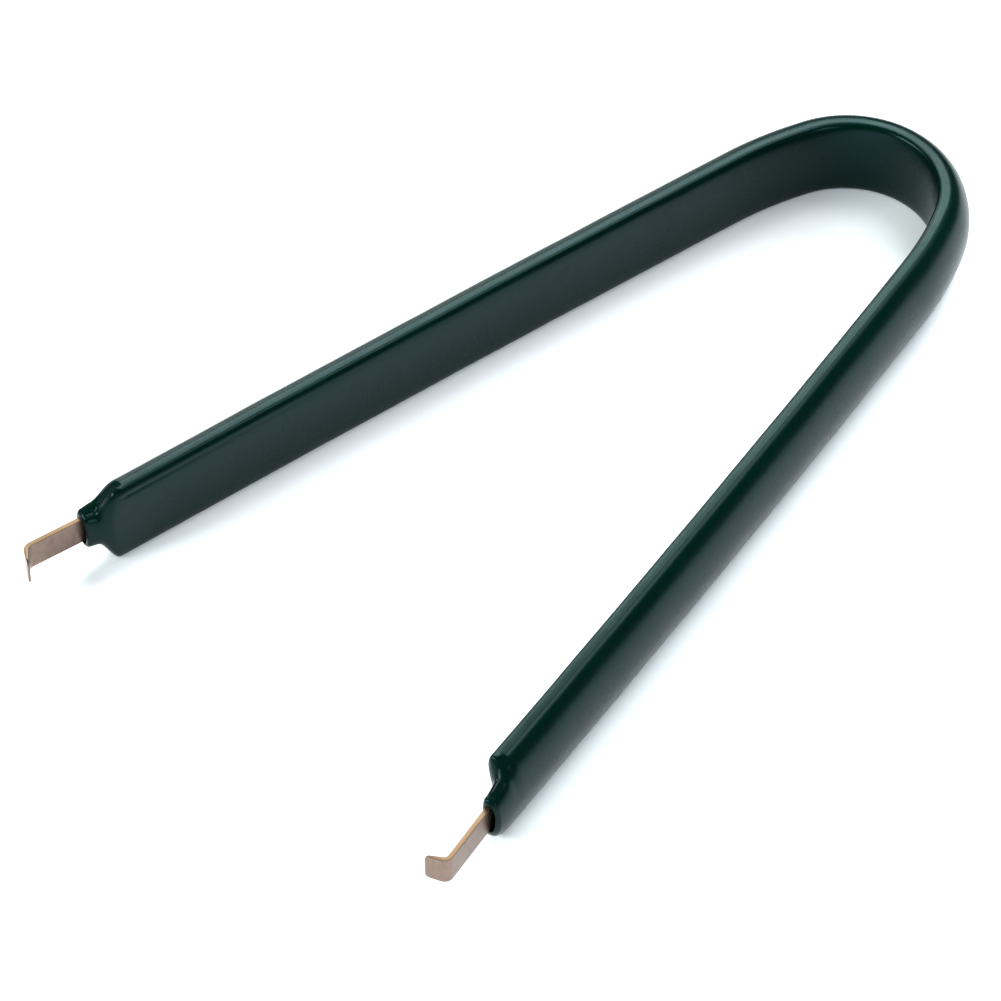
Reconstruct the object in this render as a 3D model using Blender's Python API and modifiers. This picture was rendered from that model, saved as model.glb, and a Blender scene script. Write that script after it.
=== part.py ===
"""A chip puller: one bent strip of spring steel with hooked blades, dipped in a soft plastic coat.

Metres, +Z up. The arms open towards -X from a bend at +X, and both sides of the plane Y = 0 are alike.
The puller lies on its long edges, with the width of the strip along Z.
"""
import math

import bmesh
import bpy
import numpy as np

NAME = "chip_puller"

# Middle line of the strip, from the crown of the bend along one arm
EASE_RADIUS = 0.0512
EASE_TURN = math.radians(12.6)
ARM_BOW = math.radians(1.5)
ARM_ANGLE = math.radians(9.5)
BEND_RADIUS = 0.0131
BEND_TURN = math.pi / 2 - EASE_TURN - ARM_BOW - ARM_ANGLE
ARM_LENGTH = 0.1210
BLADE_SPLAY = math.radians(2.6)
SPLAY_RUN = 0.0020
BLADE_LENGTH = 0.0122
HOOK_FOLD_RADIUS = 0.0008
HOOK_ANGLE = math.radians(70)
HOOK_LENGTH = 0.0019

# Strip
STRIP_THICKNESS = 0.0005
STRIP_WIDTH = 0.0095
BLADE_WIDTH = 0.0039
SHOULDER_RUN = 0.0040
HOOK_CORNER = 0.0007
EDGE_BREAK = 0.00008

# Coat round the arms, over each face and each edge of the strip
COAT_INSIDE = 0.0020
COAT_CROWN = 0.00185
COAT_EDGE = 0.0010
EDGE_FLAT = 0.0005
EDGE_SET_BACK = 0.00095
CLEARANCE = 0.0003

# Coat's shoulders, short on its inside and long on its crown, and its neck round the blade
NECK_LENGTH = 0.0046
NECK_STRAIGHT = 0.0014
INSIDE_SHOULDER = 0.0026
INSIDE_STEP = 0.0017
CROWN_SHOULDER = 0.0044
NECK_INSIDE = 0.0008
NECK_CROWN = 0.0014
NECK_EDGE = 0.0004
LIP_BEAD = 0.00015
LIP_ROUND = 0.0004
MOUTH_DEPTH = 0.0013
MOUTH_INSIDE_GAP = 0.0005
MOUTH_CROWN_GAP = 0.0010
MOUTH_EDGE_GAP = 0.0003

# Roundness of the coat's section: 2 is an ellipse, and more is squarer
CROWN_POWER = 2.0
INSIDE_POWER = 4.0
NECK_POWER = 2.6

# Fineness
BEND_STEPS = 13
EASE_STEPS = 4
ARM_STEPS = 9
SHOULDER_STEPS = 9
NECK_STEPS = 6
LIP_STEPS = 3
FOLD_STEPS = 5
CORNER_STEPS = 3
QUARTER_STEPS = 5
MERGE = 1e-6

COAT_COLOUR = (0.010, 0.060, 0.045, 1.0)
STEEL_COLOUR = (0.52, 0.42, 0.36, 1.0)


def line_runs():
    """Lengths and turning rates of the arcs that make the middle line, in order."""
    bend = BEND_RADIUS * BEND_TURN
    ease = EASE_RADIUS * EASE_TURN
    arm = ARM_LENGTH - bend - ease
    fold = HOOK_FOLD_RADIUS * HOOK_ANGLE
    return [
        (bend, 1 / BEND_RADIUS),
        (ease, 1 / EASE_RADIUS),
        (arm, ARM_BOW / arm),
        (SPLAY_RUN, -BLADE_SPLAY / SPLAY_RUN),
        (BLADE_LENGTH - SPLAY_RUN, 0.0),
        (fold, 1 / HOOK_FOLD_RADIUS),
        (HOOK_LENGTH, 0.0),
    ]


def run_ends():
    """Distance along the middle line at the end of each of its runs."""
    return np.cumsum([length for length, rate in line_runs()])


def middle_line(distance):
    """Point (x, y) and outward normal (x, y) at a distance from the crown of the bend.

    The chord of an arc is its length times sin(h) / h, along the heading at its middle, where h is
    half its turn. The line starts towards +Y and turns towards -X.
    """
    x = y = heading = 0.0
    left = distance
    runs = line_runs()
    for index, (length, rate) in enumerate(runs):
        part = left if index == len(runs) - 1 else min(left, length)
        half = part * rate / 2
        chord = part * np.sinc(half / math.pi)
        x -= chord * math.sin(heading + half)
        y += chord * math.cos(heading + half)
        heading += part * rate
        left -= part
        if left <= 0:
            break
    return np.array([x, y]), np.array([math.cos(heading), math.sin(heading)])


def stations(start, end, steps):
    """Evenly spaced distances after start, up to end."""
    return list(np.linspace(start, end, steps + 1)[1:])


def in_order(distances):
    """The distances from smallest to largest, each one once."""
    kept = []
    for distance in sorted(distances):
        if not kept or distance - kept[-1] > MERGE:
            kept.append(distance)
    return kept


def arm_stations():
    """Distances from the crown to where the shoulder starts, close together round the bend."""
    bend, ease = run_ends()[:2]
    shoulder = ARM_LENGTH - SHOULDER_RUN / 2
    return [0.0] + stations(0.0, bend, BEND_STEPS) + stations(bend, ease, EASE_STEPS) + stations(
        ease, shoulder, ARM_STEPS
    )


def smooth_step(value):
    """0 below 0, 1 above 1, and a smooth rise between them."""
    t = min(max(value, 0.0), 1.0)
    return t * t * (3 - 2 * t)


def strip_half_width(distance):
    """Half the strip's width: full on the arm, an S-shaped shoulder, and the blade's own beyond it."""
    drop = smooth_step((distance - ARM_LENGTH) / SHOULDER_RUN + 0.5)
    return (STRIP_WIDTH + (BLADE_WIDTH - STRIP_WIDTH) * drop) / 2


def rounded_end(distance, end, radius):
    """How far a corner of this radius takes the outline in, at a distance short of the end."""
    into = max(distance - (end - radius), 0.0)
    return radius - math.sqrt(max(radius**2 - into**2, 0.0))


def collect(obj, collection, cutter=False):
    """Puts the object in its collection, and marks a cutter as one."""
    collection.objects.link(obj)
    obj.hide_render = cutter
    if cutter:
        obj.display_type = "WIRE"
    return obj


def add_mirror(obj):
    mirror = obj.modifiers.new("other_arm", "MIRROR")
    mirror.use_axis = (False, True, False)
    mirror.merge_threshold = MERGE
    mirror.use_clip = True


def band(name, distances, half_widths, origin):
    """Half of a bent band, as an open ribbon: its end edge is extruded from station to station."""
    mesh = bpy.data.meshes.new(name)
    work = bmesh.new()
    edge = None
    for distance, half in zip(distances, half_widths):
        point, _ = middle_line(distance)
        place = (point[0] + origin[0], point[1] + origin[1])
        if edge is None:
            low = work.verts.new((*place, origin[2] - half))
            high = work.verts.new((*place, origin[2] + half))
            edge = work.edges.new((low, high))
            continue
        made = bmesh.ops.extrude_edge_only(work, edges=[edge])["geom"]
        edge = [item for item in made if isinstance(item, bmesh.types.BMEdge)][0]
        for vert in edge.verts:
            side = half if vert.co.z > origin[2] else -half
            vert.co = (*place, origin[2] + side)
    bmesh.ops.recalc_face_normals(work, faces=work.faces)
    work.to_mesh(mesh)
    work.free()
    return bpy.data.objects.new(name, mesh)


def add_wall(obj, thickness):
    wall = obj.modifiers.new("wall", "SOLIDIFY")
    wall.thickness = thickness
    wall.offset = 0.0
    wall.use_even_offset = True
    wall.use_quality_normals = True


def half_section(centre, reach, half_height, power, start):
    """Half a superellipse, as (outward offset, height), turning on from a start angle in degrees.

    It runs through centre + reach * cos(a) ** (2 / power), half_height * sin(a) ** (2 / power).
    """
    half = []
    for angle in np.radians(np.linspace(start, start + 180, 2 * QUARTER_STEPS + 1)):
        across = abs(math.cos(angle)) ** (2 / power)
        up = math.copysign(abs(math.sin(angle)) ** (2 / power), math.sin(angle))
        half.append((centre + reach * across, half_height * up))
    return half


def loft(name, rings):
    """Skin through rings of equal count. The first ring stays open, and the last one is capped."""
    mesh = bpy.data.meshes.new(name)
    work = bmesh.new()
    previous = None
    for ring in rings:
        verts = [work.verts.new(point) for point in ring]
        if previous:
            for index in range(len(verts)):
                after = (index + 1) % len(verts)
                work.faces.new((previous[index], previous[after], verts[after], verts[index]))
        previous = verts
    work.faces.new(previous)
    bmesh.ops.recalc_face_normals(work, faces=work.faces)
    work.to_mesh(mesh)
    work.free()
    return bpy.data.objects.new(name, mesh)


def placed_ring(distance, ring, origin):
    """The ring stood across the middle line at a distance from the crown."""
    point, normal = middle_line(distance)
    return [
        (
            point[0] + normal[0] * offset + origin[0],
            point[1] + normal[1] * offset + origin[1],
            origin[2] + height,
        )
        for offset, height in ring
    ]


def coat_end():
    return ARM_LENGTH + NECK_LENGTH


def mixed(first, last, share):
    return first + (last - first) * share


def coat_ring(distance):
    """The coat's section at a distance: flat inside and crowned outside, closing in to the neck.

    Its inside half and its crown half close in over shoulders of their own, so a flat that is level
    along the arm slants on the shoulder and leaves a small peak on the inside half. The inside face
    steps back towards the strip at the start of its shoulder.
    """
    neck_start = coat_end() - NECK_STRAIGHT
    into_lip = max((distance - neck_start) / NECK_STRAIGHT, 0.0)
    bead = LIP_BEAD * math.sin(math.pi * into_lip) ** 2
    shrink = rounded_end(distance, coat_end(), LIP_ROUND) - bead
    half_steel = STRIP_THICKNESS / 2
    arm_height = STRIP_WIDTH / 2 + COAT_EDGE
    neck_height = BLADE_WIDTH / 2 + MOUTH_EDGE_GAP + NECK_EDGE
    into_inside = distance - neck_start + INSIDE_SHOULDER
    inside_change = smooth_step(into_inside / INSIDE_SHOULDER)
    step = smooth_step(into_inside / INSIDE_STEP)
    crown_change = smooth_step((distance - neck_start) / CROWN_SHOULDER + 1)
    flat = -EDGE_SET_BACK * (1 - inside_change)
    crown_centre = flat + EDGE_FLAT / 2
    inside_centre = flat - EDGE_FLAT / 2
    crown = half_steel + mixed(COAT_CROWN, NECK_CROWN, crown_change) - shrink
    inside = half_steel + mixed(COAT_INSIDE, NECK_INSIDE, step) - shrink
    return half_section(
        crown_centre,
        crown - crown_centre,
        mixed(arm_height, neck_height, crown_change) - shrink,
        mixed(CROWN_POWER, NECK_POWER, crown_change),
        -90,
    ) + half_section(
        inside_centre,
        -inside - inside_centre,
        mixed(arm_height, neck_height, inside_change) - shrink,
        mixed(INSIDE_POWER, NECK_POWER, inside_change),
        90,
    )


def coat_stations():
    """Distances of the coat's rings, from the crown to the face of the lip."""
    neck_start = coat_end() - NECK_STRAIGHT
    round_start = coat_end() - LIP_ROUND
    lip = [
        round_start + LIP_ROUND * math.sin(turn)
        for turn in np.linspace(0, math.pi / 2, LIP_STEPS + 1)[1:]
    ]
    return (
        arm_stations()
        + stations(arm_stations()[-1], neck_start, SHOULDER_STEPS)
        + stations(neck_start, round_start, NECK_STEPS)
        + lip
    )


def hook_stations():
    """Distances along the blade, the fold and the hook, to its rounded end."""
    splay_end, blade_end, fold_end, hook_end = run_ends()[3:]
    corner_start = hook_end - HOOK_CORNER
    corner = [
        corner_start + HOOK_CORNER * math.sin(turn)
        for turn in np.linspace(0, math.pi / 2, CORNER_STEPS + 1)[1:]
    ]
    return (
        [splay_end, blade_end]
        + stations(blade_end, fold_end, FOLD_STEPS)
        + [corner_start]
        + corner
    )


def shoulder_stations():
    start = ARM_LENGTH - SHOULDER_RUN / 2
    return stations(start, start + SHOULDER_RUN, SHOULDER_STEPS)


def material(name, colour, roughness, metallic):
    made = bpy.data.materials.new(name)
    made.use_nodes = True
    made.diffuse_color = colour
    shader = made.node_tree.nodes["Principled BSDF"]
    shader.inputs["Base Color"].default_value = colour
    shader.inputs["Roughness"].default_value = roughness
    shader.inputs["Metallic"].default_value = metallic
    return made


def smooth(obj, angle):
    obj.data.shade_smooth()
    obj.data.set_sharp_from_angle(angle=angle)


def make_strip(origin, collection):
    """The steel: arms, shoulders, blades and hooks, all one strip of one thickness."""
    distances = in_order(arm_stations() + shoulder_stations() + hook_stations())
    end = run_ends()[-1]
    widths = [strip_half_width(at) - rounded_end(at, end, HOOK_CORNER) for at in distances]
    strip = band("spring_strip", distances, widths, origin)
    add_mirror(strip)
    add_wall(strip, STRIP_THICKNESS)
    edges = strip.modifiers.new("broken_edges", "BEVEL")
    edges.width = EDGE_BREAK
    edges.segments = 1
    edges.limit_method = "ANGLE"
    edges.angle_limit = math.radians(50)
    strip.data.materials.append(material("spring_steel", STEEL_COLOUR, 0.32, 1.0))
    return collect(strip, collection)


def make_channel(origin, collection):
    """What the strip takes out of the coat: the strip with its clearance on every side."""
    distances = arm_stations() + shoulder_stations() + [coat_end() + MOUTH_DEPTH]
    widths = [strip_half_width(at - CLEARANCE) + CLEARANCE for at in distances]
    channel = band("strip_channel", distances, widths, origin)
    add_mirror(channel)
    add_wall(channel, STRIP_THICKNESS + 2 * CLEARANCE)
    return collect(channel, collection, cutter=True)


def make_mouth(origin, collection):
    """The open mouth in the lip: an oval wider than the blade, and widest on the crown's side."""
    start = coat_end() - MOUTH_DEPTH
    centre = (MOUTH_CROWN_GAP - MOUTH_INSIDE_GAP) / 2
    face = (STRIP_THICKNESS + MOUTH_CROWN_GAP + MOUTH_INSIDE_GAP) / 2
    edge = BLADE_WIDTH / 2 + MOUTH_EDGE_GAP
    rings = []
    for at in (start, coat_end(), coat_end() + MOUTH_DEPTH):
        ring = [
            (centre + face * math.cos(turn), edge * math.sin(turn))
            for turn in np.linspace(0, 2 * math.pi, 4 * QUARTER_STEPS, endpoint=False)
        ]
        rings.append(placed_ring(at, ring, origin))
    mouth = loft("mouth_hollow", rings)
    close_ends(mouth)
    add_mirror(mouth)
    return collect(mouth, collection, cutter=True)


def close_ends(obj):
    work = bmesh.new()
    work.from_mesh(obj.data)
    bmesh.ops.holes_fill(work, edges=[edge for edge in work.edges if edge.is_boundary])
    bmesh.ops.recalc_face_normals(work, faces=work.faces)
    work.to_mesh(obj.data)
    work.free()


def add_cut(obj, cutter):
    cut = obj.modifiers.new(cutter.name, "BOOLEAN")
    cut.operation = "DIFFERENCE"
    cut.solver = "EXACT"
    cut.object = cutter


def make_coat(origin, collection, cutters):
    """The dipped coat: one skin over bend and arms, open at both necks where the blades come out."""
    rings = [placed_ring(at, coat_ring(at), origin) for at in coat_stations()]
    coat = loft("grip_coat", rings)
    smooth(coat, math.radians(50))
    add_mirror(coat)
    for cutter in cutters:
        add_cut(coat, cutter)
    coat.data.materials.append(material("dipped_plastic", COAT_COLOUR, 0.25, 0.0))
    return collect(coat, collection)


def origin_shift():
    """Puts the origin under the middle of the puller, at the level of its lower long edges."""
    bend_face = STRIP_THICKNESS / 2 + COAT_CROWN
    reach = []
    for at in hook_stations():
        point, normal = middle_line(at)
        reach.append(point[0] + normal[0] * STRIP_THICKNESS / 2)
    return (-(bend_face + min(reach)) / 2, 0.0, STRIP_WIDTH / 2 + COAT_EDGE)


def new_collection(name):
    made = bpy.data.collections.new(name)
    bpy.context.scene.collection.children.link(made)
    return made


def clear_scene():
    for obj in list(bpy.data.objects):
        bpy.data.objects.remove(obj, do_unlink=True)


def main():
    clear_scene()
    puller = new_collection(NAME)
    cutters = new_collection("cutters")
    origin = origin_shift()
    make_strip(origin, puller)
    channel = make_channel(origin, cutters)
    mouth = make_mouth(origin, cutters)
    make_coat(origin, puller, [channel, mouth])


main()
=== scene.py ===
"""A chip puller on its long edges: one bent steel strip with hooked blades, in a dipped green coat.

Metres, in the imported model's frame. The arms open towards -X, the far arm is at +Y, and +Z is up.
A place on the puller is a distance along the strip's middle line from the crown of the bend,
positive on the far arm and negative on the near one, with an offset outwards and a height.
"""
import math

import bpy
import numpy as np
from mathutils import Matrix, Vector


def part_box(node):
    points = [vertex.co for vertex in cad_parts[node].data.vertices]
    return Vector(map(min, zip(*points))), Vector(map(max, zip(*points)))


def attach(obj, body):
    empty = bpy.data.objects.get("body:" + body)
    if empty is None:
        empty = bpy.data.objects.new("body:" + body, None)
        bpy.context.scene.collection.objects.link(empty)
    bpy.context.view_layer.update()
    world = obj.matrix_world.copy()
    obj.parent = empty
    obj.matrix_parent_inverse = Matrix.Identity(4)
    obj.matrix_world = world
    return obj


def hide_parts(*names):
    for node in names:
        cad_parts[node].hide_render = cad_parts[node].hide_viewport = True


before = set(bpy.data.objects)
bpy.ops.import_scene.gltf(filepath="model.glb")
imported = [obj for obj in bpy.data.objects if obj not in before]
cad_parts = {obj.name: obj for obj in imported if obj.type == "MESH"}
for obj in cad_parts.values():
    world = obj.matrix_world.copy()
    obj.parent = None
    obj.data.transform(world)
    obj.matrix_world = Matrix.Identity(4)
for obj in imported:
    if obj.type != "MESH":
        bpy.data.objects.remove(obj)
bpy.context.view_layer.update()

MM = 0.001

# Middle line of the strip, from the crown of the bend along one arm
EASE_RADIUS = 51.2 * MM
EASE_TURN = math.radians(12.6)
ARM_BOW = math.radians(1.5)
ARM_ANGLE = math.radians(9.5)
BEND_RADIUS = 13.1 * MM
BEND_TURN = math.pi / 2 - EASE_TURN - ARM_BOW - ARM_ANGLE
ARM_LENGTH = 121.0 * MM
BLADE_SPLAY = math.radians(2.6)
SPLAY_RUN = 2.0 * MM
BLADE_LENGTH = 12.2 * MM
HOOK_FOLD_RADIUS = 0.8 * MM
HOOK_ANGLE = math.radians(70)
HOOK_FOLD = HOOK_FOLD_RADIUS * HOOK_ANGLE
HOOK_LENGTH = 1.9 * MM
HOOK_END = ARM_LENGTH + BLADE_LENGTH + HOOK_FOLD + HOOK_LENGTH
FOLD_END = HOOK_END - HOOK_LENGTH
FOLD_START = FOLD_END - HOOK_FOLD

# Strip: the coat is measured from the solid's thickness, and the sheet that shows is a little thicker
STRIP_THICKNESS = 0.5 * MM
HALF_STEEL = STRIP_THICKNESS / 2
SHEET = 0.6 * MM
GROUND_SHEET = 0.3 * MM
GROUND_START = 0.4 * MM
STRIP_WIDTH = 9.5 * MM
BLADE_WIDTH = 3.9 * MM
SHOULDER_RUN = 4.0 * MM
HOOK_CORNER = 0.7 * MM
EDGE_ROUND = 0.06 * MM
END_RUN = 0.02 * MM
END_INSET = 0.05 * MM
SHEARED_FADE = 0.75

# Coat on the arms
COAT_INSIDE = 2.0 * MM
COAT_CROWN = 1.85 * MM
CROWN_EXTRA = 0.08 * MM
COAT_EDGE = 1.0 * MM
COAT_HALF_HEIGHT = STRIP_WIDTH / 2 + COAT_EDGE
EDGE_FLAT = 0.4 * MM
EDGE_SET_BACK = 0.95 * MM
FAR_CROWN_POWER = 2.3
NEAR_CROWN_POWER = 1.88
FAR_INSIDE_POWER = 3.6
NEAR_INSIDE_POWER = 4.6
SIDES_RUN = 60.0 * MM

# Shoulders: starts are measured back from the coat's end, and the near arm's hollow fades up the
# inner face, by shares of its half height
NECK_LENGTH = 4.6 * MM
NECK_STRAIGHT = 1.4 * MM
CROWN_START = 5.3 * MM
CROWN_RUN = 3.2 * MM
CROWN_STEP_SHARE = 0.6
FAR_INSIDE_START = 4.0 * MM
FAR_INSIDE_RUN = 2.6 * MM
NEAR_INSIDE_START = 4.35 * MM
NEAR_INSIDE_RUN = 1.5 * MM
FAR_STEP_START = 3.4 * MM
FAR_STEP_RUN = 3.2 * MM
NEAR_STEP_START = 4.35 * MM
NEAR_STEP_RUN = 1.8 * MM
NEAR_HOLLOW = 0.95 * MM
HOLLOW_FADE_START = 0.3
HOLLOW_FADE_RUN = 0.5
COAT_END = ARM_LENGTH + NECK_LENGTH
NECK_START = COAT_END - NECK_STRAIGHT

# Necks, lips and mouths
NECK_INSIDE = 0.95 * MM
FAR_NECK_CROWN = 1.3 * MM
NEAR_NECK_CROWN = 1.5 * MM
NECK_EDGE = 0.4 * MM
NECK_POWER = 2.5
FAR_CROWN_NECK_POWER = 4.5
NEAR_CROWN_NECK_POWER = 2.6
NEAR_NECK_TOP = 0.5 * MM
NEAR_NECK_BASE = 0.5 * MM
NEAR_BASE_START = 0.8 * MM
NEAR_BASE_RUN = 2.4 * MM
NEAR_BASE_RATIO = 3
FAR_DRAW_IN = 0.15 * MM
FAR_DRAW_RUN = 1.8 * MM
LIP_ROUND = 0.5 * MM
MOUTH_ROUND = 0.08 * MM
MOUTH_DEPTH = 1.3 * MM
MOUTH_INSIDE_GAP = 0.58 * MM
MOUTH_CROWN_GAP = 0.7 * MM
MOUTH_EDGE_GAP = 0.3 * MM
MOUTH_LEAN_SHARE = 0.8
CHANNEL_GAP = 0.03 * MM
CHANNEL_POWER = 10.0

# What sets this one apart: both necks lean to -Y, the near arm is a little short, and the blades
# stand a little out of line
FAR_LEAN = 0.30 * MM
NEAR_LEAN = -0.50 * MM
NEAR_INSIDE_EXTRA = 0.18 * MM
FAR_SET_OUT = 0.33 * MM
NEAR_SET_OUT = 0.2 * MM
FAR_SLIDE = -0.65 * MM
NEAR_SLIDE = 0.45 * MM
SET_OUT_RUN = 3.0 * MM
NEAR_HOOK_RISE = 0.5 * MM
NEAR_SHORT = 0.5 * MM

# Waves of the dipped skin: length along the arm, times round the section, phase and strength
WAVES = (
    (31.0 * MM, 1, 0.3, 1.0),
    (19.0 * MM, -2, 1.9, 0.8),
    (11.0 * MM, 3, 4.1, 0.5),
    (7.3 * MM, -1, 5.2, 0.35),
)
UNEVEN_DEPTH = 0.05 * MM

# A lump, a ridge and a valley on the shoulders' upper edges. Each has its rise, its place and width
# back from the coat's end, and its place and width outwards from the middle of the edge
MARKS = (
    (0.16 * MM, (4.5 * MM, 0.40 * MM), (-0.30 * MM, 0.30 * MM)),
    (0.25 * MM, (2.2 * MM, 0.8 * MM), (-0.75 * MM, 0.25 * MM)),
    (-0.25 * MM, (2.6 * MM, 1.1 * MM), (-0.30 * MM, 0.35 * MM)),
)
NEAR_MARKS = 0.2

# Groove under the inner upper edge, deepest at the shoulders and gone further up the arms
GROOVE_DEPTH = 0.13 * MM
GROOVE_HEIGHT = 4.65 * MM
GROOVE_WIDTH = 0.24 * MM
GROOVE_START = 4.0 * MM
GROOVE_EASE = 1.5 * MM
GROOVE_FADE_START = 4.4 * MM
GROOVE_FADE_RUN = 38.0 * MM
GROOVE_FADE_POWER = 1.5

# Points round each section
CROWN_POINTS = 56
FLAT_POINTS = 12
INSIDE_POINTS = 68
EDGE_POINTS = 5
FACE_POINTS = 9
TURN_SAMPLES = 4001

# Rings along the pieces: where their spacing changes, and how many lie in each stretch
BEND_STOP = 19.0 * MM
EASE_STOP = 30.0 * MM
COAT_ARM_STOP = 113.0 * MM
SHOULDER_STOP = NECK_START - 5.5 * MM
COAT_STOPS = (0.0, BEND_STOP, EASE_STOP, COAT_ARM_STOP, SHOULDER_STOP, NECK_START, COAT_END - LIP_ROUND)
COAT_RINGS = (44, 18, 110, 12, 52, 14)
STRIP_ARM_STOP = 118.0 * MM
BLADE_STOP = 124.0 * MM
CORNER_START = HOOK_END - HOOK_CORNER
STRIP_STOPS = (0.0, BEND_STOP, EASE_STOP, STRIP_ARM_STOP, BLADE_STOP, FOLD_START, FOLD_END, CORNER_START)
STRIP_RINGS = (40, 12, 40, 24, 30, 20, 6)

# Rings over a lip's quarter circles and its rim, down a mouth's wall, across its floor, along the
# channel, and round a hook's corners
ROUND_RINGS = 9
RIM_RINGS = 5
WALL_RINGS = 6
FLOOR_RINGS = 4
CHANNEL_RINGS = 60
CORNER_RINGS = 12

# Where the puller lies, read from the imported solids
low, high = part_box("grip_coat")
CROWN_X = high.x - COAT_CROWN - HALF_STEEL
MIDDLE_Z = (low.z + high.z) / 2


def smooth_step(value):
    """0 below 0, 1 above 1, and t * t * (3 - 2 * t) between them."""
    t = np.clip(value, 0.0, 1.0)
    return t * t * (3 - 2 * t)


def mixed(first, last, share):
    """The first at a share of 0, the last at 1, and a straight line between them."""
    return first + (last - first) * share


def hump(value, centre, width):
    """A bell of height 1: exp(-((value - centre) / width) ** 2)."""
    return np.exp(-(((value - centre) / width) ** 2))


def powered(value, power):
    """A superellipse's coordinate: the value's size to the power of 2 / power, with its sign."""
    return np.sign(value) * np.abs(value) ** (2 / power)


def middle_line(distance):
    """Points and outward normals, each (n, 2), at signed distances from the crown.

    Each arc adds a chord of length * sin(h) / h along the heading at its middle, where h is half
    the turn made on it so far. The near arm is the far one mirrored in Y.
    """
    bend = BEND_RADIUS * BEND_TURN
    ease = EASE_RADIUS * EASE_TURN
    arm = ARM_LENGTH - bend - ease
    runs = (
        (bend, 1 / BEND_RADIUS),
        (ease, 1 / EASE_RADIUS),
        (arm, ARM_BOW / arm),
        (SPLAY_RUN, -BLADE_SPLAY / SPLAY_RUN),
        (BLADE_LENGTH - SPLAY_RUN, 0.0),
        (HOOK_FOLD, 1 / HOOK_FOLD_RADIUS),
        (HOOK_LENGTH, 0.0),
    )
    left = np.abs(distance)
    heading = np.zeros_like(left)
    point = np.zeros((len(left), 2))
    for length, rate in runs:
        part = np.clip(left, 0.0, length)
        half = part * rate / 2
        chord = part * np.sinc(half / math.pi)
        point += np.stack([-chord * np.sin(heading + half), chord * np.cos(heading + half)], 1)
        heading += part * rate
        left = left - part
    side = np.where(distance < 0, -1.0, 1.0)
    normal = np.stack([np.cos(heading), np.sin(heading) * side], 1)
    point[:, 1] *= side
    return point, normal


def placed(distance, offset, height, slide=0.0):
    """Rings of points (m, n, 3): each ring stands across the middle line at its distance.

    A point is the middle line's, plus its offset along the normal, moved away from the bend along
    its arm by the slide. The near arm moves back by a share of its shortness that grows along it.
    """
    point, normal = middle_line(distance)
    beyond = slide - NEAR_SHORT * np.clip(-distance / ARM_LENGTH, 0.0, 1.0)
    side = np.where(distance < 0, -1.0, 1.0)
    along = [-beyond * math.cos(ARM_ANGLE), beyond * side * math.sin(ARM_ANGLE)]
    point = point + np.stack(along, 1)
    flat = point[:, None, :] + normal[:, None, :] * offset[:, :, None]
    x = CROWN_X + flat[:, :, 0]
    y = flat[:, :, 1]
    return np.stack([x, y, MIDDLE_Z + height], 2)


def spread(stops, steps):
    """Distances through the stops, with the given number of even steps between each two."""
    pieces = [np.linspace(a, b, n, endpoint=False) for a, b, n in zip(stops, stops[1:], steps)]
    return np.concatenate(pieces + [[stops[-1]]])


def both_arms(distances):
    """Distances from the crown outwards, repeated mirrored, from the near end to the far end."""
    return np.concatenate([-distances[:0:-1], distances])


def rings_mesh(name, rings, loop):
    """A mesh of four-sided faces between the rings (m, n, 3).

    With loop the last ring joins the first, and otherwise a face caps each end.
    """
    count, around = rings.shape[:2]
    grid = np.arange(count * around).reshape(count, around)
    if loop:
        grid = np.concatenate([grid, grid[:1]])
    across = np.concatenate([grid, grid[:, :1]], 1)
    quads = np.stack([across[:-1, :-1], across[1:, :-1], across[1:, 1:], across[:-1, 1:]], 2)
    faces = quads.reshape(-1, 4).tolist()
    if not loop:
        faces += [grid[0].tolist(), grid[-1, ::-1].tolist()]
    mesh = bpy.data.meshes.new(name)
    mesh.from_pydata(rings.reshape(-1, 3).tolist(), [], faces)
    mesh.update()
    mesh.shade_smooth()
    made = bpy.data.objects.new(name, mesh)
    bpy.context.scene.collection.objects.link(made)
    return made


def add_values(obj, name, values):
    """Stores one number for each point of the mesh, for its material to read."""
    layer = obj.data.attributes.new(name, "FLOAT", "POINT")
    layer.data.foreach_set("value", np.ascontiguousarray(values, np.float32).ravel())


def add_vectors(obj, name, values):
    """Stores three numbers for each point of the mesh, for its material to read."""
    layer = obj.data.attributes.new(name, "FLOAT_VECTOR", "POINT")
    layer.data.foreach_set("vector", np.ascontiguousarray(values, np.float32).ravel())


# Coat: skin, lips, mouths and the channel that the strip lies in


def section_half(turn, centre, reach, half_height, power):
    """Half a superellipse, on the side of the centre that the reach's sign gives.

    The offset is centre + reach * |cos a| ** (2 / power), and the height is half_height times sin a
    to the same power, with its sign.
    """
    across = np.abs(np.cos(turn)) ** (2 / power)
    return centre + reach * across, half_height * powered(np.sin(turn), power)


def even_turns(reach, half_height, power, count):
    """Turns from -90 to 90 degrees whose points lie evenly far apart on a superellipse.

    They are read off the length run along it, at even steps of that length.
    """
    fine = np.linspace(-math.pi / 2, math.pi / 2, TURN_SAMPLES)
    offset, height = section_half(fine, 0.0, reach, half_height, power)
    run = np.concatenate([[0.0], np.cumsum(np.hypot(np.diff(offset), np.diff(height)))])
    return np.interp(np.linspace(0, run[-1], count), run, fine)


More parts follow.
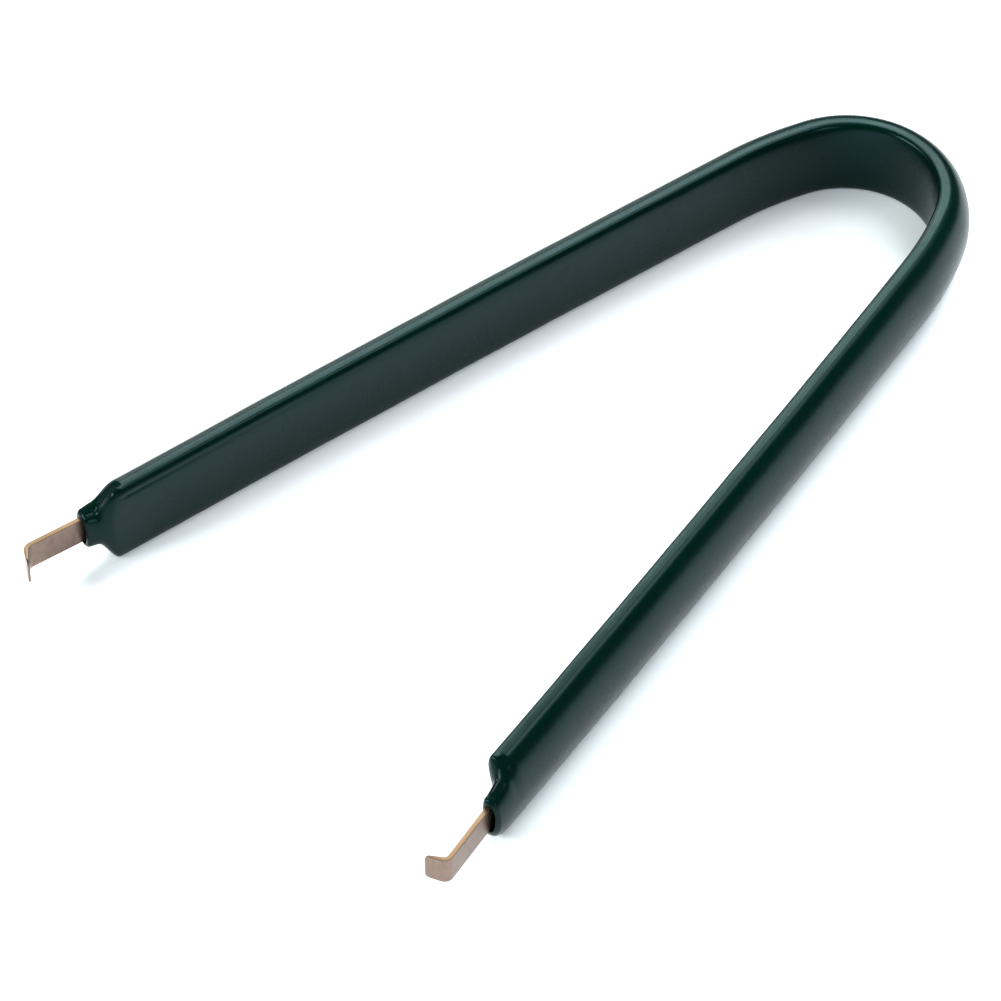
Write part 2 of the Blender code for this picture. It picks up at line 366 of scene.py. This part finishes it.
def section_columns():
    """The turn of each column round the section, and its share of the inside half.

    Up over the crown, across the top edge, down the inside, and back across the lower edge.
    """
    crown_reach = HALF_STEEL + COAT_CROWN + EDGE_SET_BACK - EDGE_FLAT / 2
    inside_reach = HALF_STEEL + COAT_INSIDE - EDGE_SET_BACK - EDGE_FLAT / 2
    crown = even_turns(crown_reach, COAT_HALF_HEIGHT, NEAR_CROWN_POWER, CROWN_POINTS)
    inside = math.pi + even_turns(inside_reach, COAT_HALF_HEIGHT, FAR_INSIDE_POWER, INSIDE_POINTS)
    across = np.linspace(0, 1, FLAT_POINTS + 2)[1:-1]
    turn = [crown, np.full(FLAT_POINTS, math.pi / 2), inside, np.full(FLAT_POINTS, 3 * math.pi / 2)]
    share = [np.zeros(CROWN_POINTS), across, np.ones(INSIDE_POINTS), across[::-1]]
    return np.concatenate(turn)[None, :], np.concatenate(share)[None, :]


def shoulder(from_end, far, up):
    """How far four parts of the section have gone from the arm's form (0) to the neck's (1).

    They are the crown's reach, the crown's height, the inside's height and the inside's reach. The
    crown tapers by a smooth step mixed with a straight line, and the inside goes by smooth steps.
    On the near arm the crown's reach and the lower half's heights wait, and go by the cube of the
    line, and the inside's reach steps in first below its upper edge, which leaves a hollow there.
    """
    line = np.clip((CROWN_START - from_end) / CROWN_START, 0.0, 1.0)
    late = line**3
    fall = smooth_step((CROWN_START - from_end) / CROWN_RUN)
    taper = CROWN_STEP_SHARE * fall + (1 - CROWN_STEP_SHARE) * line
    sags = ~far & (up < 0)
    inside_start = np.where(far, FAR_INSIDE_START, NEAR_INSIDE_START)
    inside_run = np.where(far, FAR_INSIDE_RUN, NEAR_INSIDE_RUN)
    inside_fall = np.where(sags, late, smooth_step((inside_start - from_end) / inside_run))
    up_face = np.clip(up, 0.0, 1.0) ** (2 / NEAR_INSIDE_POWER)
    hollow = NEAR_HOLLOW * (1 - smooth_step((up_face - HOLLOW_FADE_START) / HOLLOW_FADE_RUN))
    step_start = np.where(far, FAR_STEP_START, NEAR_STEP_START + hollow)
    step_run = np.where(far, FAR_STEP_RUN, NEAR_STEP_RUN)
    inside_step = smooth_step((step_start - from_end) / step_run)
    return np.where(far, taper, late), np.where(sags, late, taper), inside_fall, inside_step


def coat_section(distance, turn, share):
    """Offsets and heights (m, n) of the coat's skin: flat inside, crowned outside, with a neck.

    The crown and the inside are half superellipses on the two sides of a narrow flat edge. Their
    reach, height and power are the arm's, mixed into the neck's over the shoulder, and the edge
    mixes the two halves by the share. The near neck grows towards its base, above and, by a part
    of that, inside. The last result is the offset of the edge's middle.
    """
    far = (distance > 0)[:, None]
    side = smooth_step(distance[:, None] / SIDES_RUN + 0.5)
    from_end = COAT_END - np.abs(distance)[:, None]
    up = np.sin(turn)
    crown_change, crown_fall, inside_fall, inside_step = shoulder(from_end, far, up)
    edge_middle = -EDGE_SET_BACK * (1 - inside_fall)
    crown_centre = edge_middle + EDGE_FLAT / 2
    inside_centre = edge_middle - EDGE_FLAT / 2
    base = NEAR_NECK_BASE * smooth_step((from_end - NEAR_BASE_START) / NEAR_BASE_RUN) * ~far
    near_top = (NEAR_NECK_TOP + base) * (~far & (up > 0))
    neck_height = BLADE_WIDTH / 2 + MOUTH_EDGE_GAP + NECK_EDGE + near_top
    neck_crown = np.where(far, FAR_NECK_CROWN, NEAR_NECK_CROWN)
    crown = HALF_STEEL + mixed(COAT_CROWN + CROWN_EXTRA, neck_crown, crown_change)
    full_inside = COAT_INSIDE + mixed(NEAR_INSIDE_EXTRA, 0.0, side)
    neck_inside = NECK_INSIDE + np.where(far, FAR_LEAN, NEAR_LEAN) + base / NEAR_BASE_RATIO
    drawn = FAR_DRAW_IN * far * smooth_step(1 - from_end / FAR_DRAW_RUN)
    inside = HALF_STEEL + mixed(full_inside, neck_inside, inside_step) - drawn
    neck_power = np.where(far, FAR_CROWN_NECK_POWER, NEAR_CROWN_NECK_POWER)
    crown_power = mixed(mixed(NEAR_CROWN_POWER, FAR_CROWN_POWER, side), neck_power, crown_change)
    inside_power = mixed(mixed(NEAR_INSIDE_POWER, FAR_INSIDE_POWER, side), NECK_POWER, inside_fall)
    crown_height = mixed(COAT_HALF_HEIGHT, neck_height, crown_fall)
    inside_height = mixed(COAT_HALF_HEIGHT, neck_height, inside_fall)
    crown_half = section_half(turn, crown_centre, crown - crown_centre, crown_height, crown_power)
    inside_reach = -inside - inside_centre
    inside_half = section_half(turn, inside_centre, inside_reach, inside_height, inside_power)
    offset = mixed(crown_half[0], inside_half[0], share)
    height = mixed(crown_half[1], inside_half[1], smooth_step(share))
    return offset, height, edge_middle


def uneven(distance, turn):
    """Slow waves of a dipped skin, from -1 to 0: sines along the arm and round it, added up."""
    total = 0.0
    for length, times, phase, strength in WAVES:
        along = 2 * math.pi * distance[:, None] / length
        total = total + strength * np.sin(along + times * turn + phase)
    most = sum(wave[3] for wave in WAVES)
    return (total - most) / (2 * most)


def coat_skin(distance, turn, share):
    """The section with its hand-dipped details.

    The waves draw it in along its turn, the groove is a bell across the inner face that fades along
    the arm, and each mark lifts or sinks the upper edge by the product of two bells.
    """
    offset, height, edge_middle = coat_section(distance, turn, share)
    from_end = COAT_END - np.abs(distance)[:, None]
    wave = UNEVEN_DEPTH * uneven(distance, turn)
    faded = np.clip((from_end - GROOVE_FADE_START) / GROOVE_FADE_RUN, 0.0, 1.0)
    strength = smooth_step((from_end - GROOVE_START) / GROOVE_EASE) * (1 - faded) ** GROOVE_FADE_POWER
    groove = GROOVE_DEPTH * strength * hump(height, GROOVE_HEIGHT, GROOVE_WIDTH) * (share == 1)
    beside = offset - edge_middle
    marks = sum(rise * hump(from_end, *along) * hump(beside, *across) for rise, along, across in MARKS)
    edge = np.clip(np.abs(height) / COAT_HALF_HEIGHT, 0.0, 1.0)
    top = edge * (height > 0) * np.where(distance > 0, 1.0, NEAR_MARKS)[:, None]
    return offset + wave * np.cos(turn) + groove, height + wave * np.sin(turn) + top * marks


def opened(turn):
    """The columns' turns moved halfway to an even spacing, for rings that have no flat edge."""
    columns = turn.shape[1]
    even = -math.pi / 2 + 2 * math.pi * np.arange(columns)[None, :] / columns
    return 0.5 * turn + 0.5 * even


def mouth_ring(turn, grow, arm):
    """The mouth's oval on the far (1) or the near (-1) arm, grown by the given amounts (m,).

    It is an ellipse that leaves the mouth's gaps round the blade, and leans with the neck.
    """
    lean = MOUTH_LEAN_SHARE * (FAR_LEAN if arm > 0 else NEAR_LEAN)
    crown_gap = MOUTH_CROWN_GAP - lean
    inside_gap = MOUTH_INSIDE_GAP + lean
    centre = (crown_gap - inside_gap) / 2
    face = (STRIP_THICKNESS + crown_gap + inside_gap) / 2 + grow[:, None]
    edge = BLADE_WIDTH / 2 + MOUTH_EDGE_GAP + grow[:, None]
    return centre + face * np.cos(turn), edge * np.sin(turn)


def strip_half_width(distance):
    """Full on the arm, an S-shaped shoulder, the blade's beyond it, and round corners at the end."""
    at = np.abs(distance)
    drop = smooth_step((at - ARM_LENGTH) / SHOULDER_RUN + 0.5)
    into = np.clip(at - CORNER_START, 0.0, HOOK_CORNER)
    corner = HOOK_CORNER - np.sqrt(HOOK_CORNER**2 - into**2)
    return mixed(STRIP_WIDTH, BLADE_WIDTH, drop) / 2 - corner


def channel_ring(distance, turn):
    """A near-rectangular superellipse, whose half sizes are the strip's plus the channel's gap."""
    half = strip_half_width(distance)[:, None] + CHANNEL_GAP
    across = (SHEET / 2 + CHANNEL_GAP) * powered(np.cos(turn), CHANNEL_POWER)
    return np.repeat(across, len(distance), 0), half * powered(np.sin(turn), CHANNEL_POWER)


def lip_rings(turn, share, arm):
    """Rings on the far (1) or the near (-1) arm, from the lip's outer edge down into the mouth.

    The outer edge is a quarter of a circle, by which the section shrinks towards its middle. The
    rim is a straight mix of the lip's outline and the mouth's oval, the mouth's edge is a smaller
    quarter, its wall is straight, and its floor mixes the oval and the channel.
    """
    sweep = np.linspace(0, math.pi / 2, ROUND_RINGS)
    outer_at = COAT_END - LIP_ROUND * (1 - np.sin(sweep))
    inset = LIP_ROUND * (1 - np.cos(sweep))[:, None]
    outer = []
    for values in coat_skin(outer_at * arm, turn, share):
        most = values.max(1, keepdims=True)
        least = values.min(1, keepdims=True)
        middle = (most + least) / 2
        outer.append(middle + (values - middle) * (1 - inset / ((most - least) / 2)))
    open_turn = opened(turn)
    grown = mouth_ring(open_turn, np.full(1, MOUTH_ROUND), arm)
    part = np.linspace(0, 1, RIM_RINGS + 1)[1:, None]
    rim = [mixed(values[-1:], ring, part) for values, ring in zip(outer, grown)]
    inner_at = COAT_END - MOUTH_ROUND * (1 - np.cos(sweep[1:]))
    inner = mouth_ring(open_turn, MOUTH_ROUND * (1 - np.sin(sweep[1:])), arm)
    wall_at = np.linspace(COAT_END - MOUTH_ROUND, COAT_END - MOUTH_DEPTH, WALL_RINGS + 1)[1:]
    wall = mouth_ring(open_turn, np.zeros(WALL_RINGS), arm)
    floor_at = np.full(FLOOR_RINGS, COAT_END - MOUTH_DEPTH)
    channel = channel_ring(floor_at, open_turn)
    part = np.linspace(0, 1, FLOOR_RINGS + 1)[1:, None]
    floor = [mixed(values[-1:], ring, part) for values, ring in zip(wall, channel)]
    at = np.concatenate([outer_at, np.full(RIM_RINGS, COAT_END), inner_at, wall_at, floor_at])
    offset, height = (np.concatenate(run) for run in zip(outer, rim, inner, wall, floor))
    return at * arm, offset, height


def make_coat():
    """One closed skin: over the bend from lip to lip, into each mouth, and back round the strip."""
    turn, share = section_columns()
    outside = both_arms(spread(COAT_STOPS, COAT_RINGS))[1:-1]
    skin = coat_skin(outside, turn, share)
    far_lip = lip_rings(turn, share, 1)
    near_lip = [values[::-1] for values in lip_rings(turn, share, -1)]
    mouth_floor = COAT_END - MOUTH_DEPTH
    inside = np.linspace(mouth_floor, -mouth_floor, CHANNEL_RINGS + 2)[1:-1]
    channel = channel_ring(inside, opened(turn))
    at = np.concatenate([outside, far_lip[0], inside, near_lip[0]])
    offset = np.concatenate([skin[0], far_lip[1], channel[0], near_lip[1]])
    height = np.concatenate([skin[1], far_lip[2], channel[1], near_lip[2]])
    coat = rings_mesh("dipped_coat", placed(at, offset, height), loop=True)
    coat.data.materials.append(dipped_vinyl())
    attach(coat, "root")
    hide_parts("grip_coat")


# Strip


def strip_section():
    """Unit ring of a rounded rectangle: corner signs (2, n) and the directions of the rounding (2, n).

    Each corner is a quarter of a circle, and the two broad faces have points between their corners.
    """
    sweep = np.linspace(0, math.pi / 2, EDGE_POINTS)
    signs = []
    rounding = []
    for across, up, quarter in ((1, 1, 0), (-1, 1, 1), (-1, -1, 2), (1, -1, 3)):
        turn = sweep + quarter * math.pi / 2
        signs.append(np.stack([np.full(EDGE_POINTS, across), np.full(EDGE_POINTS, up)]))
        rounding.append(np.stack([np.cos(turn), np.sin(turn)]))
        if quarter % 2 == 1:
            between = np.full(FACE_POINTS - 2, across)
            signs.append(np.stack([between, np.linspace(up, -up, FACE_POINTS)[1:-1]]))
            rounding.append(np.stack([between, np.zeros(FACE_POINTS - 2)]))
    return np.concatenate(signs, 1), np.concatenate(rounding, 1)


def blade_shifts(distance):
    """How far a blade lies outwards of and beyond its place, eased in over the run up to the lip."""
    eased = smooth_step((np.abs(distance) - COAT_END) / SET_OUT_RUN + 1)
    far = distance > 0
    outward = np.where(far, FAR_SET_OUT, NEAR_SET_OUT) * eased
    beyond = np.where(far, FAR_SLIDE, NEAR_SLIDE) * eased
    return outward, beyond


def make_strip():
    """The steel strip from hook to hook: a rounded rectangle carried along the middle line.

    A smooth step grinds the hooks' inner faces thinner, and another lifts the near hook. Each point
    keeps how much it lies on a sheared edge, fading to the hooks' ends, and its place on the flat
    sheet as distance, offset and height.
    """
    corner = HOOK_END - HOOK_CORNER * (1 - np.sin(np.linspace(0, math.pi / 2, CORNER_RINGS)))
    straight = spread(STRIP_STOPS, STRIP_RINGS)
    distance = both_arms(np.concatenate([straight[:-1], corner[:-1], [HOOK_END - END_RUN, HOOK_END]]))
    from_crown = np.abs(distance)
    signs, rounding = strip_section()
    inset = np.zeros(len(distance))
    inset[[0, -1]] = END_INSET
    ground = smooth_step((from_crown - FOLD_END + GROUND_START) / HOOK_LENGTH)
    half_thick = mixed(SHEET, GROUND_SHEET, ground) / 2 - inset
    half_width = strip_half_width(distance) - inset
    offset = signs[0] * (half_thick - EDGE_ROUND)[:, None] + rounding[0] * EDGE_ROUND
    height = signs[1] * (half_width - EDGE_ROUND)[:, None] + rounding[1] * EDGE_ROUND
    outward, slide = blade_shifts(distance)
    bent = offset + (outward + ground * (SHEET - GROUND_SHEET) / 2)[:, None]
    rise = NEAR_HOOK_RISE * smooth_step((-distance - FOLD_START) / (HOOK_END - FOLD_START))
    strip = rings_mesh("bent_strip", placed(distance, bent, height + rise[:, None], slide), loop=False)
    fade = 1 - SHEARED_FADE * smooth_step((from_crown - FOLD_START) / (CORNER_START - FOLD_START))
    # The sheared share carries the edges' golden colour with its painted highlight, and their roughness
    add_values(strip, "sheared", np.abs(rounding[1])[None, :] * fade[:, None])
    along = np.repeat(distance[:, None], offset.shape[1], 1)
    add_vectors(strip, "rolled", np.stack([along, offset, height], 2))
    strip.data.materials.append(spring_steel())
    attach(strip, "root")
    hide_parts("spring_strip")


# Materials

COAT_GREENS = ((0.0001, 0.0062, 0.0045, 1), (0.0002, 0.0084, 0.0061, 1))
COAT_ROUGHNESS = (0.24, 0.31)
COAT_GLOSS = 0.14
COAT_GLOSS_TINT = (0.45, 0.85, 1.0, 1)
STEEL_FACES = ((0.168, 0.112, 0.091, 1), (0.226, 0.154, 0.126, 1))
STEEL_LINES = (0.262, 0.188, 0.155, 1)
STEEL_BORDER = (0.14, 0.080, 0.042, 1)
# Sheared edges' colour: their own golden tone, made brighter as a painted highlight
STEEL_SHEARED_AND_HIGHLIGHT = (0.30, 0.192, 0.122, 1)
STEEL_ROUGHNESS = (0.30, 0.42)
LINE_SCALE = (300.0, 2000.0, 9000.0)
STAIN_SCALE = (1400.0, 400.0, 700.0)
SHEARED_ROUGHER = 0.18
BORDER_START = BLADE_WIDTH / 2 - 0.22 * MM
BORDER_FULL = BLADE_WIDTH / 2 - 0.06 * MM
BORDER_STRENGTH = 0.65
FLOOR_PALE = ((0.85, 0.885, 0.915, 1), (0.88, 0.915, 0.945, 1))
# Painted pool of light: the floor's colour goes to this grey between these two distances from the puller
FLOOR_PAINTED_DIM = (0.16, 0.17, 0.18, 1)
PAINTED_POOL_FADE = (85 * MM, 300 * MM)


class Nodes:
    """A material's node tree, with short calls for the nodes that these finishes use."""

    def __init__(self, name):
        self.material = bpy.data.materials.new(name)
        self.material.use_nodes = True
        self.tree = self.material.node_tree
        self.shader = self.tree.nodes["Principled BSDF"]

    def add(self, kind, **settings):
        """A new node of the kind, with its settings."""
        made = self.tree.nodes.new(kind)
        for key, value in settings.items():
            setattr(made, key, value)
        return made

    def join(self, source, target):
        """Links an output to an input."""
        self.tree.links.new(source, target)

    def finish(self, name, source):
        """Lets a node's output drive one of the shader's sockets."""
        self.join(source, self.shader.inputs[name])

    def object_place(self):
        """The place on the piece, in metres."""
        return self.add("ShaderNodeTexCoord").outputs["Object"]

    def attribute(self, name, output):
        """What a mesh keeps for each of its points under the name."""
        return self.add("ShaderNodeAttribute", attribute_name=name).outputs[output]

    def stretched(self, vector, scale):
        """The vector times the scale, axis by axis."""
        mapping = self.add("ShaderNodeMapping")
        mapping.inputs["Scale"].default_value = scale
        self.join(vector, mapping.inputs["Vector"])
        return mapping.outputs["Vector"]

    def noise(self, vector, scale, detail, roughness=0.5):
        """Soft noise from 0 to 1, with about scale features in each unit of the vector."""
        made = self.add("ShaderNodeTexNoise")
        made.inputs["Scale"].default_value = scale
        made.inputs["Detail"].default_value = detail
        made.inputs["Roughness"].default_value = roughness
        self.join(vector, made.inputs["Vector"])
        return made.outputs["Fac"]

    def between(self, value, low, high, start=0.3, end=0.7, interpolation="LINEAR"):
        """Maps start to end, by default the middle of a noise's values, onto low to high."""
        made = self.add("ShaderNodeMapRange", interpolation_type=interpolation)
        made.inputs["From Min"].default_value = start
        made.inputs["From Max"].default_value = end
        made.inputs["To Min"].default_value = low
        made.inputs["To Max"].default_value = high
        self.join(value, made.inputs["Value"])
        return made.outputs["Result"]

    def mix(self, share, first, second):
        """Mixes two colours, each a colour or another node's output."""
        made = self.add("ShaderNodeMix", data_type="RGBA")
        self.join(share, made.inputs["Factor"])
        for value, socket in ((first, made.inputs["A"]), (second, made.inputs["B"])):
            if isinstance(value, tuple):
                socket.default_value = value
            else:
                self.join(value, socket)
        return made.outputs["Result"]

    def bump(self, height, strength, distance, normal=None):
        """The surface's normal, or the one given, tilted as if the height rose by the distance."""
        made = self.add("ShaderNodeBump")
        made.inputs["Strength"].default_value = strength
        made.inputs["Distance"].default_value = distance
        self.join(height, made.inputs["Height"])
        if normal:
            self.join(normal, made.inputs["Normal"])
        return made.outputs["Normal"]


def dipped_vinyl():
    """Very dark green dipped plastic: satin, with slow clouds of gloss and a faint orange peel."""
    nodes = Nodes("dipped_vinyl")
    place = nodes.object_place()
    clouds = nodes.noise(place, scale=90.0, detail=3.0)
    nodes.finish("Base Color", nodes.mix(nodes.between(clouds, 0.0, 1.0), *COAT_GREENS))
    gloss = nodes.noise(place, scale=160.0, detail=4.0, roughness=0.6)
    nodes.finish("Roughness", nodes.between(gloss, *COAT_ROUGHNESS))
    peel = nodes.noise(place, scale=900.0, detail=2.0)
    waves = nodes.noise(place, scale=160.0, detail=1.0)
    fine = nodes.bump(peel, strength=0.12, distance=0.03 * MM)
    nodes.finish("Normal", nodes.bump(waves, strength=0.15, distance=0.12 * MM, normal=fine))
    nodes.shader.inputs["Metallic"].default_value = 0.0
    nodes.shader.inputs["IOR"].default_value = 1.5
    nodes.shader.inputs["Specular IOR Level"].default_value = COAT_GLOSS
    nodes.shader.inputs["Specular Tint"].default_value = COAT_GLOSS_TINT
    return nodes.material


def spring_steel():
    """Warm rolled steel with fine lines along the strip and a brown border along the blades.

    The sheared edges are more golden and rougher, and their brighter colour is partly a painted
    highlight.
    """
    nodes = Nodes("rolled_steel")
    rolled = nodes.attribute("rolled", "Vector")
    lines = nodes.noise(nodes.stretched(rolled, LINE_SCALE), scale=1.0, detail=3.0, roughness=0.6)
    stains = nodes.noise(nodes.stretched(rolled, STAIN_SCALE), scale=1.0, detail=4.0)
    face = nodes.mix(nodes.between(stains, 0.0, 1.0), *STEEL_FACES)
    lined = nodes.mix(nodes.between(lines, 0.0, 0.5), face, STEEL_LINES)
    parts = nodes.add("ShaderNodeSeparateXYZ")
    nodes.join(rolled, parts.inputs[0])
    height = nodes.add("ShaderNodeMath", operation="ABSOLUTE")
    nodes.join(parts.outputs["Z"], height.inputs[0])
    brown = nodes.between(height.outputs[0], 0.0, BORDER_STRENGTH, BORDER_START, BORDER_FULL)
    bordered = nodes.mix(brown, lined, STEEL_BORDER)
    sheared = nodes.attribute("sheared", "Fac")
    # Sheared edges: golden colour, partly a painted highlight
    nodes.finish("Base Color", nodes.mix(sheared, bordered, STEEL_SHEARED_AND_HIGHLIGHT))
    rougher = nodes.add("ShaderNodeMath", operation="MULTIPLY_ADD")
    rougher.inputs[1].default_value = SHEARED_ROUGHER
    nodes.join(sheared, rougher.inputs[0])
    nodes.join(nodes.between(lines, *STEEL_ROUGHNESS), rougher.inputs[2])
    nodes.finish("Roughness", rougher.outputs[0])
    nodes.finish("Normal", nodes.bump(lines, strength=0.5, distance=0.01 * MM))
    nodes.shader.inputs["Metallic"].default_value = 1.0
    nodes.shader.inputs["Anisotropic"].default_value = 0.4
    return nodes.material


def paper_with_painted_pool():
    """Plain pale paper with a breath of grain, which goes grey away from the puller: a painted pool of
    light round it.
    """
    nodes = Nodes("paper_with_painted_pool")
    grain = nodes.noise(nodes.object_place(), scale=40.0, detail=3.0)
    pale = nodes.mix(nodes.between(grain, 0.0, 1.0), *FLOOR_PALE)
    away = nodes.add("ShaderNodeVectorMath", operation="LENGTH")
    nodes.join(nodes.object_place(), away.inputs[0])
    # Painted pool of light: the paper darkens with distance from the puller
    fade = nodes.between(away.outputs["Value"], 0.0, 1.0, *PAINTED_POOL_FADE, "SMOOTHSTEP")
    nodes.finish("Base Color", nodes.mix(fade, pale, FLOOR_PAINTED_DIM))
    nodes.shader.inputs["Roughness"].default_value = 0.9
    nodes.shader.inputs["Specular IOR Level"].default_value = 0.0
    return nodes.material


# Stage: floor, room, lights and camera

FLOOR_HALF = 1.5
ROOM_COLOUR = (0.93, 0.98, 1.0, 1)
ROOM_STRENGTH = 0.33
ROOM_MIRRORED = 0.04

# Soft lights: name, azimuth, elevation, distance, size, watts, colour, and whether gloss mirrors it
LIGHTS = (
    ("back_softbox", 133, 42, 0.9, (0.50, 0.20), 5.2, (0.88, 1.0, 0.91), True),
    ("top_fill", 88, 61, 0.9, (0.35, 0.35), 3.0, (1.0, 0.97, 0.94), True),
    ("low_fill", 152, 18, 0.9, (0.40, 0.20), 1.6, (1.0, 0.95, 0.90), True),
    ("tip_fill", 237, 32, 0.9, (0.40, 0.30), 9.0, (0.94, 1.0, 0.95), True),
    ("neck_fill", -17, 22, 0.9, (0.25, 0.30), 1.8, (0.94, 1.0, 0.95), True),
    ("side_key", 102, 33, 1.2, (0.80, 0.60), 20.0, (0.90, 0.95, 1.0), False),
    ("front_fill", -15, 55, 0.9, (0.80, 0.40), 3.0, (0.88, 0.95, 1.0), False),
)

# Where the camera looks from, and its target, measured from the crown of the bend
CAMERA_AZIMUTH = -46.587
CAMERA_ELEVATION = 47.638
CAMERA_ROLL = math.radians(-0.520)
CAMERA_DISTANCE = 666.5 * MM
CAMERA_TARGET = (-78.51 * MM, -0.632 * MM, 6.0 * MM)
CAMERA_LENS = 198.3
CAMERA_SENSOR = 36.0


def make_floor():
    """One square face at height 0, far wider than the picture."""
    mesh = bpy.data.meshes.new("floor")
    corners = [(x * FLOOR_HALF, y * FLOOR_HALF, 0) for x, y in ((-1, -1), (1, -1), (1, 1), (-1, 1))]
    mesh.from_pydata(corners, [], [(0, 1, 2, 3)])
    floor = bpy.data.objects.new("floor", mesh)
    bpy.context.scene.collection.objects.link(floor)
    floor.data.materials.append(paper_with_painted_pool())


def compass(azimuth, elevation):
    """Unit vector towards an azimuth and elevation in degrees, where azimuth 0 is -Y and 90 is +X."""
    a, e = math.radians(azimuth), math.radians(elevation)
    return Vector((math.sin(a) * math.cos(e), -math.cos(a) * math.cos(e), math.sin(e)))


def soft_light(name, azimuth, elevation, distance, size, watts, colour, mirrored):
    """A rectangular soft light on the compass round the puller, turned to it.

    One that isn't mirrored lights the floor and the coat, and doesn't show in their gloss.
    """
    light = bpy.data.lights.new(name, "AREA")
    light.shape = "RECTANGLE"
    light.size, light.size_y = size
    light.energy = watts
    light.color = colour
    lamp = bpy.data.objects.new(name, light)
    towards = compass(azimuth, elevation)
    lamp.location = towards * distance
    lamp.rotation_euler = towards.to_track_quat("Z", "Y").to_euler()
    lamp.visible_glossy = mirrored
    lamp.visible_camera = False
    bpy.context.scene.collection.objects.link(lamp)


def make_room():
    """An even soft room, which gloss mirrors at a strength of its own."""
    world = bpy.data.worlds.new("studio")
    world.use_nodes = True
    tree = world.node_tree
    back = tree.nodes["Background"]
    back.inputs["Color"].default_value = ROOM_COLOUR
    path = tree.nodes.new("ShaderNodeLightPath")
    choose = tree.nodes.new("ShaderNodeMapRange")
    choose.inputs["To Min"].default_value = ROOM_STRENGTH
    choose.inputs["To Max"].default_value = ROOM_MIRRORED
    tree.links.new(path.outputs["Is Glossy Ray"], choose.inputs["Value"])
    tree.links.new(choose.outputs["Result"], back.inputs["Strength"])
    bpy.context.scene.world = world


def make_camera():
    """Looks at the target from its azimuth and elevation, rolled about the line of sight."""
    data = bpy.data.cameras.new("camera")
    data.lens = CAMERA_LENS
    data.sensor_width = CAMERA_SENSOR
    data.clip_start = 0.01
    data.clip_end = 20.0
    camera = bpy.data.objects.new("camera", data)
    back = compass(CAMERA_AZIMUTH, CAMERA_ELEVATION)
    level = math.radians(CAMERA_AZIMUTH)
    right = Vector((math.cos(level), math.sin(level), 0.0))
    up = back.cross(right)
    rolled_right = right * math.cos(CAMERA_ROLL) + up * math.sin(CAMERA_ROLL)
    rolled_up = up * math.cos(CAMERA_ROLL) - right * math.sin(CAMERA_ROLL)
    turn = Matrix((rolled_right, rolled_up, back)).transposed()
    target = Vector(CAMERA_TARGET) + Vector((CROWN_X, 0.0, 0.0))
    camera.matrix_world = Matrix.Translation(target + back * CAMERA_DISTANCE) @ turn.to_4x4()
    bpy.context.scene.collection.objects.link(camera)
    bpy.context.scene.camera = camera


make_camera()
make_coat()
make_strip()
make_floor()
make_room()
for light in LIGHTS:
    soft_light(*light)
bpy.context.scene.view_settings.view_transform = "Standard"
